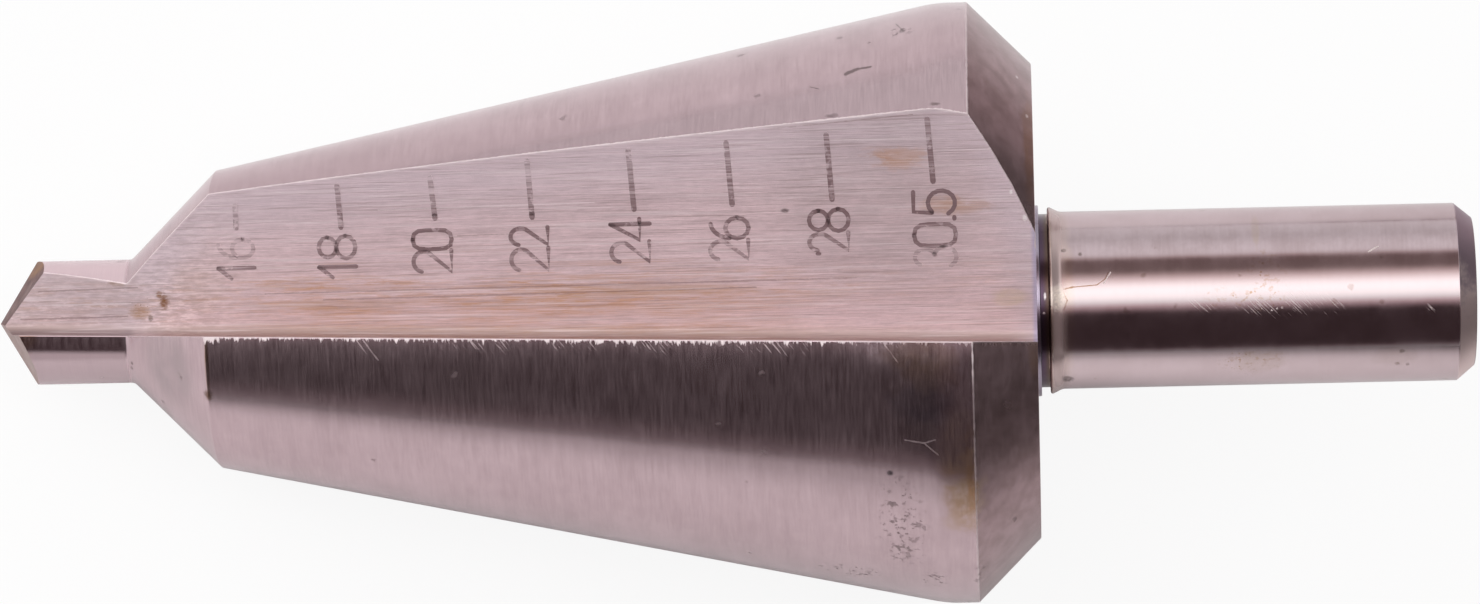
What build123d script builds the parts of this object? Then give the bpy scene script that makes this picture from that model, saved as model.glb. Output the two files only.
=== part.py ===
from build123d import *
import os
from math import cos, radians, sin, sqrt, tan

# A conical drill bit for tube and sheet metal, ground from one bar of high-speed steel.
# Sizes are in millimetres and angles in degrees. They are given along the drill's own axis,
# from the tip (0) to the end of the shank, and the drill is then laid down as it rests.

# Pilot point
pilot_diameter = 6.3
pilot_length = 6.85              # from the tip to the start of the lead-in
primary_facet_slope = 33.3       # fall of the facet behind each lip
primary_facet_turn = 59.8        # its direction, measured back from the lip's outer corner
secondary_facet_slope = 38.6     # fall of the relief facet behind it
secondary_facet_turn = 124.5

# Conical head
lead_in_angle = 45.0             # between the lead-in and the axis
lead_in_root_radius = 0.4        # where the lead-in rises from the pilot
cone_start_diameter = 15.2
cone_length = 36.8
largest_diameter = 30.5
land_length = 1.6                # short cylinder at the largest diameter
back_chamfer_length = 3.2
back_chamfer_angle = 45.0

# Neck between the head and the shank
collar_diameter = 9.7
collar_length = 0.2
relief_groove_width = 0.45
relief_groove_diameter = 8.8
flare_diameter = 9.6
flare_length = 0.6

# Shank
overall_length = 75.0
shank_diameter = 9.0
shank_chamfer_length = 0.9
shank_chamfer_depth = 0.75

# The two flutes: each has a flat floor that rises towards the shank and a wall that ends in
# the cutting edge.
flute_count = 2
floor_height_at_tip = 0.88       # of the floor above the axis, at the tip
floor_rise_angle = 10.8          # of the floor along the drill
floor_roll_angle = 10.65         # of the floor across the drill, low beside the wall
wall_offset_at_tip = 0.55        # of the wall behind the axis, at the tip
wall_drift_angle = 1.55          # by which the wall leaves the axis towards the shank
flute_root_radius = 0.5          # between the floor and the wall

# How far the cutting tools run past the metal
overrun = 2.0

# Radii and stations that follow from the sizes above
pilot_radius = pilot_diameter / 2
cone_start_radius = cone_start_diameter / 2
largest_radius = largest_diameter / 2
shank_radius = shank_diameter / 2
cone_start = pilot_length + (cone_start_radius - pilot_radius) / tan(radians(lead_in_angle))
land_start = cone_start + cone_length
land_end = land_start + land_length
back_face = land_end + back_chamfer_length
back_face_radius = largest_radius - back_chamfer_length * tan(radians(back_chamfer_angle))
groove_start = back_face + collar_length
groove_end = groove_start + relief_groove_width
flare_end = groove_end + flare_length
floor_rise = tan(radians(floor_rise_angle))
floor_roll = tan(radians(floor_roll_angle))
wall_drift = tan(radians(wall_drift_angle))


def wall_height(station):
    """Y of the flute wall at a station along the axis."""
    return -wall_offset_at_tip - wall_drift * station


def edge_point(station, radius):
    """Cutting edge: where the flute wall meets the turned surface."""
    y = wall_height(station)
    return Vector(station, y, sqrt(radius**2 - y**2))


def heel_point(station, radius):
    """Heel: where the flute floor meets the turned surface."""
    height = floor_height_at_tip + floor_rise * station
    slope = floor_roll
    root = sqrt((1 + slope**2) * radius**2 - height**2)
    y = (root - slope * height) / (1 + slope**2)
    return Vector(station, y, height + slope * y)


def turned_blank():
    """The bar as it leaves the lathe, before the flutes and the point are ground."""
    stations = [
        (0, 0),
        (0, pilot_radius),
        (pilot_length, pilot_radius),
        (cone_start, cone_start_radius),
        (land_start, largest_radius),
        (land_end, largest_radius),
        (back_face, back_face_radius),
        (back_face, collar_diameter / 2),
        (groove_start, collar_diameter / 2),
        (groove_start, relief_groove_diameter / 2),
        (groove_end, relief_groove_diameter / 2),
        (groove_end, flare_diameter / 2),
        (flare_end, shank_radius),
        (overall_length - shank_chamfer_length, shank_radius),
        (overall_length, shank_radius - shank_chamfer_depth),
        (overall_length, 0),
    ]
    outline = make_face(Polyline(*stations, close=True))
    root = outline.vertices().sort_by_distance((pilot_length, pilot_radius))[0]
    outline = fillet(root, lead_in_root_radius)
    return revolve(outline, axis=Axis.X)


def point_facet(slope, turn):
    """What the wheel takes off above one flat facet of the point."""
    fall = tan(radians(slope))
    outward = (-1, -fall * sin(radians(turn)), fall * cos(radians(turn)))
    side = 2 * (pilot_diameter + overrun)
    taken_off = Box(side, side, side, align=(Align.CENTER, Align.CENTER, Align.MIN))
    return Plane((0, 0, 0), z_dir=outward) * taken_off


def flute_cut():
    """What the wheel takes out for one flute, with its rounded root."""
    start = -overrun
    end = back_face + overrun
    corner_y = wall_height(start)
    corner_z = floor_height_at_tip + floor_rise * start + floor_roll * corner_y
    section_plane = Plane((start, corner_y, corner_z), x_dir=(0, 1, 0), z_dir=(1, 0, 0))
    reach = largest_diameter + overrun
    corners = [(0, 0), (reach, floor_roll * reach), (reach, reach), (0, reach)]
    section = make_face(Polyline(*corners, close=True))
    root_corner = section.vertices().sort_by_distance((0, 0))[0]
    section = fillet(root_corner, flute_root_radius)
    run = Vector(1, -wall_drift, floor_rise - floor_roll * wall_drift)
    return extrude(section_plane * section, amount=(end - start) * run.length, dir=run.normalized())


def ground_drill():
    """The finished drill along its own axis, tip at the origin, first flute facing +Z."""
    drill = turned_blank()
    for number in range(flute_count):
        turn = Rot(360 / flute_count * number, 0, 0)
        drill -= turn * flute_cut()
        drill -= turn * point_facet(primary_facet_slope, primary_facet_turn)
        drill -= turn * point_facet(secondary_facet_slope, secondary_facet_turn)
    return drill


def resting_plane():
    """The surface under the drill when it lies on the edge and the heel of one flute."""
    edge_front = edge_point(cone_start, cone_start_radius)
    edge_back = edge_point(land_start, largest_radius)
    heel_back = heel_point(land_start, largest_radius)
    outward = (edge_back - edge_front).cross(heel_back - edge_front).normalized()
    ground = edge_front.rotate(Axis.X, 180)
    down = outward.rotate(Axis.X, 180)
    along = Vector(1, 0, 0) - down * down.X
    return Plane(ground, x_dir=along, z_dir=-down)


def laid_down(drill):
    """The drill at rest: underside on Z = 0, centred on the origin, shank towards +X."""
    lying = resting_plane().to_local_coords(drill)
    middle = lying.bounding_box().center()
    return Pos(-middle.X, -middle.Y, 0) * lying


os.makedirs("parts", exist_ok=True)
drill_body = laid_down(ground_drill())
export_step(drill_body, "parts/drill_body.step")
print("volume", round(drill_body.volume, 2), "size", drill_body.bounding_box().size)
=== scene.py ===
from functools import reduce
from math import acos, atan2, cos, hypot, pi, radians, sin, sqrt, tan

import bpy
from mathutils import Matrix, Vector


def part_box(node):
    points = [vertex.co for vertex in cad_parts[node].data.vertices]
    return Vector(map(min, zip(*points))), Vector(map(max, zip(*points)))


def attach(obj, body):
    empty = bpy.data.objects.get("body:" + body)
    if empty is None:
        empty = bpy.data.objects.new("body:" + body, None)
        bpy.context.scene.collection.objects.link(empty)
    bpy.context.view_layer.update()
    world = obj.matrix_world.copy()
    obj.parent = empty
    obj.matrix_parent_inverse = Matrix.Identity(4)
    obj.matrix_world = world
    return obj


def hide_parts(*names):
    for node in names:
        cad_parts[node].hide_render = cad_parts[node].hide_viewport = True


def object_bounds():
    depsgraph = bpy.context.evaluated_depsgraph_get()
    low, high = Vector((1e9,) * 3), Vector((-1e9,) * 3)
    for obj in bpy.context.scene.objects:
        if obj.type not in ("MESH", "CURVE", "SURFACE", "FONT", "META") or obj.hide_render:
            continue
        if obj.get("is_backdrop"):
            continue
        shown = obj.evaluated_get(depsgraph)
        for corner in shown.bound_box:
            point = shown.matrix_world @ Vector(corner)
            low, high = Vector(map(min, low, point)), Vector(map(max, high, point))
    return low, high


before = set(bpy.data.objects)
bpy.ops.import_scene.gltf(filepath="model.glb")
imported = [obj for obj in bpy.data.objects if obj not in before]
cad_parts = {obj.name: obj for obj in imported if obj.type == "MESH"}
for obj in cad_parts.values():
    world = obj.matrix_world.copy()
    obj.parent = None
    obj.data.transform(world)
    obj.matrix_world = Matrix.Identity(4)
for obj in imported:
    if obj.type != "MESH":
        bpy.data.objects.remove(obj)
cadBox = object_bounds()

mm = 0.001

# The drill's own sizes, along its axis from the tip, as they are in the CAD (mm and degrees)
drill = {
    "pilotRadius": 3.15,
    "pilotLength": 6.85,
    "coneStart": 11.3,
    "coneStartRadius": 7.6,
    "landStart": 48.1,
    "landEnd": 49.7,
    "largestRadius": 15.25,
    "backFace": 52.9,
    "backFaceRadius": 12.05,
    "leadInRoot": 0.4,
    "edgeBreak": 0.045,          # rounding of the ground edges
    "shoulderBreak": 0.09,       # rounding of the turned shoulders
    "landBlend": 6.5,            # the cone runs into the land without an edge
    "tipInset": 0.0005,          # keeps the tip inside the CAD's box
    "floorAtTip": 0.88,
    "floorRise": tan(radians(10.8)),
    "floorRoll": tan(radians(10.65)),
    "wallAtTip": 0.55,
    "wallDrift": tan(radians(1.55)),
    "fluteRoot": 0.5,
    "facets": ((33.3, 59.8), (38.6, 124.5)),   # slope and turn of each flat of the point
    "smoothAngle": 32,
    "weld": 0.001,               # points closer than this are one
}

# Neck and shank: station, radius and rounding of each corner of the outline
shankOutline = (
    (52.9, 4.85, 0.05), (53.1, 4.85, 0.04), (53.1, 4.4, 0.03), (53.55, 4.4, 0.03),
    (53.55, 4.8, 0.1), (54.15, 4.5, 0.6), (74.1, 4.5, 0.08), (75, 3.75, 0.08), (75, 0, 0),
)


def setMode(mode):
    bpy.ops.object.mode_set(mode=mode)


def selectMesh(action="SELECT"):
    bpy.ops.mesh.select_all(action=action)


def clearSelection():
    if bpy.context.mode != "OBJECT":
        setMode("OBJECT")
    bpy.ops.object.select_all(action="DESELECT")


# Shape of the drill at a station; the same sums serve numbers and the materials' fields
def wallAt(station):
    return -drill["wallAtTip"] - drill["wallDrift"] * station


def floorAt(station, y):
    return drill["floorAtTip"] + drill["floorRise"] * station + drill["floorRoll"] * y


def outlineRadius(station, highest=max, lowest=min):
    d = drill
    leadIn = highest(station - (d["pilotLength"] - d["pilotRadius"]), d["pilotRadius"])
    slope = (d["largestRadius"] - d["coneStartRadius"]) / (d["landStart"] - d["coneStart"])
    cone = slope * station + (d["coneStartRadius"] - slope * d["coneStart"])
    back = d["largestRadius"] + d["landEnd"] - station
    return lowest(leadIn, cone, back, d["largestRadius"])


def edgePoint(station, radius):
    y = wallAt(station)
    return Vector((station, y, sqrt(radius**2 - y**2)))


def heelPoint(station, radius):
    height, slope = floorAt(station, 0), drill["floorRoll"]
    reach = sqrt((1 + slope**2) * radius**2 - height**2)
    y = (reach - slope * height) / (1 + slope**2)
    return Vector((station, y, height + slope * y))


# How the drill lies: the same three points carry it as in the CAD
def restingMatrix():
    d = drill
    front = edgePoint(d["coneStart"], d["coneStartRadius"])
    back = edgePoint(d["landStart"], d["largestRadius"])
    heel = heelPoint(d["landStart"], d["largestRadius"])
    halfTurn = Matrix.Rotation(pi, 3, "X")
    up = -(halfTurn @ (back - front).cross(heel - front).normalized())
    along = (Vector((1, 0, 0)) - up * up.x).normalized()
    turned = Matrix((along, up.cross(along), up)).to_4x4()
    lying = turned @ Matrix.Translation(-(halfTurn @ front))
    station, endRadius, rounding = shankOutline[-2]
    axisEnd = lying @ Vector((station, 0, 0))
    farthest = axisEnd.x + endRadius * hypot(lying[0][1], lying[0][2])
    low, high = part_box("drill_body")
    middle = Vector((high.x / mm - farthest + d["tipInset"], -axisEnd.y, 0))
    return Matrix.Scale(mm, 4) @ Matrix.Translation(middle) @ lying


toFloor = restingMatrix()
print("resting matrix", [round(v, 5) for row in toFloor for v in row])


def roundedCorner(before, corner, after, radius, steps):
    # points of a small arc that takes the place of a corner, with a support point each side
    before, corner, after = Vector(before), Vector(corner), Vector(after)
    toBefore, toAfter = before - corner, after - corner
    a, b = toBefore.normalized(), toAfter.normalized()
    half = acos(max(-1, min(1, a.dot(b)))) / 2
    sweep = pi - 2 * half
    cut = radius / tan(half)
    centre = corner + (a + b).normalized() * (radius / sin(half))
    start, end = corner + a * cut - centre, corner + b * cut - centre
    points = [corner + a * min(cut + radius * 0.5, toBefore.length * 0.5)]
    for step in range(steps + 1):
        t = step / steps
        points.append(centre + (start * sin((1 - t) * sweep) + end * sin(t * sweep)) / sin(sweep))
    points.append(corner + b * min(cut + radius * 0.5, toAfter.length * 0.5))
    return points


def extendRun(run, arc, spacing):
    # divides the way from the run's end to the arc, and adds both
    pieces = max(1, round((arc[0] - run[-1]).length / spacing))
    run += [run[-1].lerp(arc[0], k / pieces) for k in range(1, pieces)] + arc


def tangent(point):
    return Vector((-point.y, point.x)).normalized()


# Divisions of the section: outer arc, flute floor, wall and root, and the broken edges
arcSteps, floorSteps, wallSteps, rootSteps, edgeSteps = 70, 12, 3, 8, 3


def halfSection(station, radius):
    # one half of the drill's section, from the root of the upper flute to that of the lower one
    wallY = wallAt(station)
    edge = edgePoint(station, radius)
    heel = heelPoint(station, radius)
    edgeYZ, heelYZ = Vector((edge.y, edge.z)), -Vector((heel.y, heel.z))
    root = Vector((wallY, floorAt(station, wallY)))
    floorSide = Vector((root.x + 1, floorAt(station, root.x + 1)))
    points = roundedCorner(floorSide, root, edgeYZ, drill["fluteRoot"], rootSteps)[1:-1]
    rounding = drill["edgeBreak"], edgeSteps
    edgeArc = roundedCorner(root, edgeYZ, edgeYZ + tangent(edgeYZ), *rounding)
    wallTop, wallFoot = edgeArc[0], points[-1]
    points += [wallFoot.lerp(wallTop, (i + 1) / (wallSteps + 1)) for i in range(wallSteps)]
    points += edgeArc
    heelArc = roundedCorner(heelYZ - tangent(heelYZ), heelYZ, -root, *rounding)
    first = atan2(edgeArc[-1].y, edgeArc[-1].x)
    last = atan2(heelArc[0].y, heelArc[0].x)
    if last < first:
        last += 2 * pi
    for i in range(1, arcSteps):
        angle = first + (last - first) * i / arcSteps
        points.append(Vector((radius * cos(angle), radius * sin(angle))))
    points += heelArc
    nextRoot = roundedCorner(-floorSide, -root, -edgeYZ, drill["fluteRoot"], rootSteps)[1]
    floorStart = heelArc[-1]
    points += [floorStart.lerp(nextRoot, (i + 1) / (floorSteps + 1)) for i in range(floorSteps)]
    return points


def fluteSection(station, radius):
    half = halfSection(station, radius)
    return [Vector((station, side * p.x, side * p.y)) for side in (1, -1) for p in half]


def headStations():
    # the head's outline, with its corners rounded and its long runs divided
    d = drill
    runUp, spacing = 0.6, 1.5
    corners = [
        ((-runUp, d["pilotRadius"]), 0, 0),
        ((d["pilotLength"], d["pilotRadius"]), d["leadInRoot"], 5),
        ((d["coneStart"], d["coneStartRadius"]), d["shoulderBreak"], 3),
        ((d["landStart"], d["largestRadius"]), d["landBlend"], 6),
        ((d["landEnd"], d["largestRadius"]), d["shoulderBreak"], 3),
        ((d["backFace"], d["backFaceRadius"]), d["shoulderBreak"], 3),
    ]
    run = [Vector(corners[0][0])]
    for i in range(1, len(corners)):
        place, radius, steps = corners[i]
        after = corners[i + 1][0] if i + 1 < len(corners) else (d["backFace"], 0)
        arc = roundedCorner(corners[i - 1][0], place, after, radius, steps)
        extendRun(run, arc, spacing)
    return run


def extrudeLoop(points):
    # the selected loop is extruded once and its new vertices go to their places
    bpy.ops.mesh.extrude_region_move(TRANSFORM_OT_translate={"value": (0, 0, 0)})
    setMode("OBJECT")
    mesh = bpy.context.object.data
    first = len(mesh.vertices) - len(points)
    for i, point in enumerate(points):
        mesh.vertices[first + i].co = point
    setMode("EDIT")


def selectFirst(body, count):
    selectMesh("DESELECT")
    setMode("OBJECT")
    for vertex in body.data.vertices[:count]:
        vertex.select = True
    setMode("EDIT")


def circleRing(station, radius, angles):
    return [Vector((station, radius * cos(a), radius * sin(a))) for a in angles]


def backFaceRing(section):
    # from the notched outline of the back face towards the round collar, all in one plane; the
    # points of each flute's root and wall go straight down, so that no face crosses the flute
    radius, inset, spacing = 9, 0.03, 0.002
    half = len(section) // 2
    angles = []
    for i, point in enumerate(section):
        angle = atan2(point.z, point.y)
        if i % half < rootSteps + wallSteps + 2:
            side = 1 if point.z > 0 else -1
            across = point.y - side * inset
            angle = atan2(side * sqrt(radius**2 - across**2), across)
        while angles and angle < angles[-1] - pi:
            angle += 2 * pi
        angles.append(max(angle, angles[-1] + spacing) if angles else angle)
    return circleRing(drill["backFace"], radius, angles)


def shankRings(count):
    innerRing, endRing, spacing, seamAt = 6.5, 1.5, 2.5, -2
    outline = [Vector((shankOutline[0][0], innerRing))]
    for i, (station, radius, rounding) in enumerate(shankOutline[:-1]):
        after = shankOutline[i + 1][:2]
        arc = roundedCorner(outline[-1], (station, radius), after, rounding, edgeSteps)
        extendRun(outline, arc, spacing)
    outline.append(Vector((shankOutline[-1][0], endRing)))
    first = atan2(floorAt(drill["backFace"], 0), seamAt)
    angles = [first + 2 * pi * i / count for i in range(count)]
    return [circleRing(p.x, p.y, angles) for p in outline]


def grindFacet(slope, turn, flute):
    # one flat of the point: everything in front of its plane goes
    fall = tan(radians(slope))
    outward = Vector((-1, -fall * sin(radians(turn)), fall * cos(radians(turn))))
    if flute:
        outward = Vector((outward.x, -outward.y, -outward.z))
    selectMesh()
    bpy.ops.mesh.bisect(plane_co=(0, 0, 0), plane_no=outward.normalized(), use_fill=True,
                        clear_outer=True)


def buildBody():
    clearSelection()
    stations = headStations()
    sections = [fluteSection(p.x, p.y) for p in stations]
    count = len(sections[0])
    bpy.ops.mesh.primitive_circle_add(vertices=count, radius=1, fill_type="NOTHING")
    body = bpy.context.object
    body.name = "drillBody"
    for vertex, point in zip(body.data.vertices, sections[0]):
        vertex.co = point
    setMode("EDIT")
    selectMesh()
    for section in sections[1:]:
        extrudeLoop(section)
    for ring in [backFaceRing(sections[-1])] + shankRings(count):
        extrudeLoop(ring)
    bpy.ops.mesh.edge_face_add()
    selectFirst(body, count)
    bpy.ops.mesh.edge_face_add()
    selectMesh()
    bpy.ops.mesh.remove_doubles(threshold=drill["weld"])
    selectMesh()
    bpy.ops.mesh.normals_make_consistent(inside=False)
    for flute in range(2):
        for slope, turn in drill["facets"]:
            grindFacet(slope, turn, flute)
    setMode("OBJECT")
    print("body", len(body.data.vertices), "vertices", len(body.data.polygons), "faces")
    return body


# Zones of the finish, told apart by where a face lies
def zoneOf(face):
    pointEnd, tolerance, skin, upright = 3, 0.002, 0.3, 0.9
    s, y, z = face.center
    radius = hypot(y, z)
    for zone, (slope, turn) in zip(("lip", "relief"), drill["facets"]):
        fall = tan(radians(slope)) * (cos(radians(turn)) * z - sin(radians(turn)) * y)
        if s < pointEnd and abs(s - abs(fall)) < tolerance:
            return zone
    if s > drill["backFace"] - drill["weld"]:
        return "shank" if s > drill["backFace"] + drill["weld"] else "turned"
    facesOut = (face.normal.y * y + face.normal.z * z) / hypot(*face.normal[1:]) / radius
    turned = facesOut > upright and radius > outlineRadius(s) - skin
    return "turned" if turned else "flute"


# Finish of the metal. Every pattern is laid out in the drill's own coordinates, in millimetres.
class Field:
    # what a node gives at each place; arithmetic with fields makes further math nodes
    def __init__(self, socket):
        self.socket, self.tree = socket, socket.id_data

    __add__ = __radd__ = lambda self, other: calc("ADD", self, other)
    __mul__ = __rmul__ = lambda self, other: calc("MULTIPLY", self, other)
    __sub__ = lambda self, other: calc("SUBTRACT", self, other)
    __rsub__ = lambda self, other: calc("SUBTRACT", other, self)
    __truediv__ = lambda self, other: calc("DIVIDE", self, other)
    __rtruediv__ = lambda self, other: calc("DIVIDE", other, self)
    __abs__ = lambda self: calc("ABSOLUTE", self)


def feed(value, socket):
    if isinstance(value, Field):
        value.tree.links.new(value.socket, socket)
    elif socket.type == "RGBA":
        socket.default_value = (*value, 1)
    else:
        socket.default_value = value


def newNode(kind, inputs, **settings):
    # a node with its inputs fed by name or number, in the tree that the first field comes from
    tree = next(value.tree for value in inputs.values() if isinstance(value, Field))
    node = tree.nodes.new("ShaderNode" + kind)
    for name, value in settings.items():
        setattr(node, name, value)
    for name, value in inputs.items():
        feed(value, node.inputs[name])
    return node


def isVector(value):
    if isinstance(value, Field):
        return value.socket.type in ("VECTOR", "RGBA")
    return isinstance(value, (tuple, Vector))


def calc(operation, *values):
    # math on numbers or, as soon as one value is a vector, on vectors; times a number scales one
    vectors = [isVector(value) for value in values]
    if operation == "MULTIPLY" and vectors == [True, False]:
        inputs = {0: values[0], "Scale": values[1]}
        return Field(newNode("VectorMath", inputs, operation="SCALE").outputs["Vector"])
    inputs = dict(enumerate(values))
    if not any(vectors):
        return Field(newNode("Math", inputs, operation=operation).outputs[0])
    result = "Value" if operation in ("DOT_PRODUCT", "LENGTH") else "Vector"
    return Field(newNode("VectorMath", inputs, operation=operation).outputs[result])


def highest(*values):
    return reduce(lambda a, b: calc("MAXIMUM", a, b), values)


def lowest(*values):
    return reduce(lambda a, b: calc("MINIMUM", a, b), values)


def ramp(value, low, high, atLow=0, atHigh=1):
    inputs = dict(enumerate((value, low, high, atLow, atHigh)))
    return Field(newNode("MapRange", inputs, interpolation_type="SMOOTHSTEP").outputs[0])


def mix(share, below, above):
    inputs = {"Factor": share, "A": below, "B": above}
    return Field(newNode("Mix", inputs, data_type="RGBA").outputs["Result"])


def noise(place, detail=2, roughness=0.5, scale=1, output=0):
    inputs = {"Vector": place, "Scale": scale, "Detail": detail, "Roughness": roughness}
    return Field(newNode("TexNoise", inputs).outputs[output])


def split(place):
    return [Field(socket) for socket in newNode("SeparateXYZ", {0: place}).outputs]


def combine(x, y, z):
    return Field(newNode("CombineXYZ", {0: x, 1: y, 2: z}).outputs[0])


def newGroup(build):
    # a node group with the name and the inputs of the function that makes its results
    tree = bpy.data.node_groups.new(build.__name__, "ShaderNodeTree")
    labels = build.__code__.co_varnames[:build.__code__.co_argcount]
    for label in labels:
        vector = label in ("place", "stretch", "centre", "reach", "start", "end")
        kind = "NodeSocketVector" if vector else "NodeSocketFloat"
        tree.interface.new_socket(label, in_out="INPUT", socket_type=kind)
    given = tree.nodes.new("NodeGroupInput").outputs
    results = build(*[Field(given[label]) for label in labels])
    for label in results:
        tree.interface.new_socket(label, in_out="OUTPUT", socket_type="NodeSocketFloat")
    end = tree.nodes.new("NodeGroupOutput")
    for label, value in results.items():
        feed(value, end.inputs[label])


def useGroup(build, *values):
    # values in the order of the group's inputs; gives its one result, or all of them by name
    group = bpy.data.node_groups[build.__name__]
    node = newNode("Group", dict(enumerate(values)), node_tree=group)
    results = {socket.name: Field(socket) for socket in node.outputs}
    return results if len(results) > 1 else results.popitem()[1]


def grindLines(place, stretch):
    # lines left by a wheel or a tool, long in one direction: even tone, single cuts, cloudy bands
    place = place * stretch
    return {"tone": ramp(noise(place, 4, 0.62), 0.28, 0.72),
            "cuts": ramp(noise(place * 0.62, 1, 0.4), 0.56, 0.7),
            "bands": ramp(noise(place * 0.17, 3, 0.55), 0.3, 0.7)}


def blotches(place, size):
    # soft clouds of handling marks and uneven polish
    return {"cloud": ramp(noise(place * (1 / size), 4, 0.6), 0.32, 0.68)}


def spot(place, centre, reach, ragged, rag):
    # one stain, with a rim made ragged by a noise
    away = calc("LENGTH", (place - centre) / reach)
    inside = ramp(away + (rag - 0.5) * ragged, 1, 0.4)
    return {"mask": inside * ramp(rag, 0.38, 0.58, 0.55, 1)}


def pits(place, spacing, share):
    # small pits, a share of the cells of a scattered pattern
    place = place * (1 / spacing)
    bent = place + noise(place, scale=2.6, output="Color") * 0.5
    cells = newNode("TexVoronoi", {"Vector": bent, "Scale": 1}).outputs
    pick = split(Field(cells["Color"]))
    size = pick[1] * 0.2 + 0.12
    dot = ramp(Field(cells["Distance"]), size, size * 0.55)
    return {"mask": dot * calc("LESS_THAN", pick[0], share)}


def scratch(place, start, end, width, rag):
    # one scratch between two places
    reach, away = end - start, place - start
    share = calc("DOT_PRODUCT", away, reach) / calc("DOT_PRODUCT", reach, reach)
    near = calc("LENGTH", away - reach * lowest(highest(share, 0), 1))
    width = width * (rag * 2.4 - 0.2)
    return {"mask": ramp(near, width, width * 0.4)}


def hairs(place, lean):
    # fine scratches side by side, leaning by a share of their height
    s, y, z = split(place)
    slanting = combine((y * lean + s) * 9, y * 0.9, 0)
    return {"mask": ramp(noise(slanting), 0.58, 0.68)}


def corrosion(place, size):
    # eaten patches with a crumbly rim
    return {"mask": ramp(noise(place * (1 / size), 5, 0.6), 0.54, 0.61)}


def edgeDistance(place):
    # distances in mm from the cutting edge's plane, from the flute floors and from the outline
    s, y, z = split(place)
    wall = y * calc("SIGN", z) - wallAt(s)
    floor = z * calc("SIGN", y) - floorAt(s, abs(y))
    rim = outlineRadius(s, highest, lowest) - calc("LENGTH", place * (0, 1, 1))
    return {"wall": abs(wall), "floor": abs(floor), "rim": rim}


def newMaterial(name):
    material = bpy.data.materials.new(name)
    material.use_nodes = True
    return material.node_tree, material.node_tree.nodes["Principled BSDF"]


def newSteel(name):
    # a metal with the drill's own coordinates at hand, whole and split
    tree, shader = newMaterial(name)
    source = tree.nodes.new("ShaderNodeTexCoord").outputs["Object"]
    location, rotation, scale = toFloor.inverted().decompose()
    inputs = {"Vector": Field(source), "Location": location, "Rotation": rotation.to_euler(),
              "Scale": scale}
    place = Field(newNode("Mapping", inputs).outputs["Vector"])
    return shader, place, *split(place)


def ragNoise(place):
    # two noises that all stains and scratches of a material share, for large and small ones
    return noise(place, 4, 0.7, 0.55), noise(place, 4, 0.7, 4)


def spotMask(place, rag, centre, reach, ragged):
    return useGroup(spot, place, centre, reach, ragged, rag[0 if max(reach[:2]) > 1 else 1])


def stained(colour, place, rag, spots):
    # stains laid over the colour, one after the other: centre, reach, raggedness, colour, strength
    for *shape, tint, strength in spots:
        colour = mix(spotMask(place, rag, *shape) * strength, colour, tint)
    return colour


def layered(colour, finish, **masks):
    # the finish's colours of the same names laid over the colour, one after the other
    for name, mask in masks.items():
        colour = mix(mask, colour, finish[name])
    return colour


def gathered(place, rag, *spots):
    return highest(*[spotMask(place, rag, *shape) for shape in spots])


def scratched(place, rag, lines):
    return highest(*[useGroup(scratch, place, *line, rag[1]) for line in lines])


def dress(shader, colour, roughness, height, depth, metallic=1):
    bump = Field(newNode("Bump", {"Height": height, "Distance": depth * mm}).outputs[0])
    inputs = {"Base Color": colour, "Roughness": roughness, "Metallic": metallic, "Normal": bump}
    for name, value in inputs.items():
        feed(value, shader.inputs[name])


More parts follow.
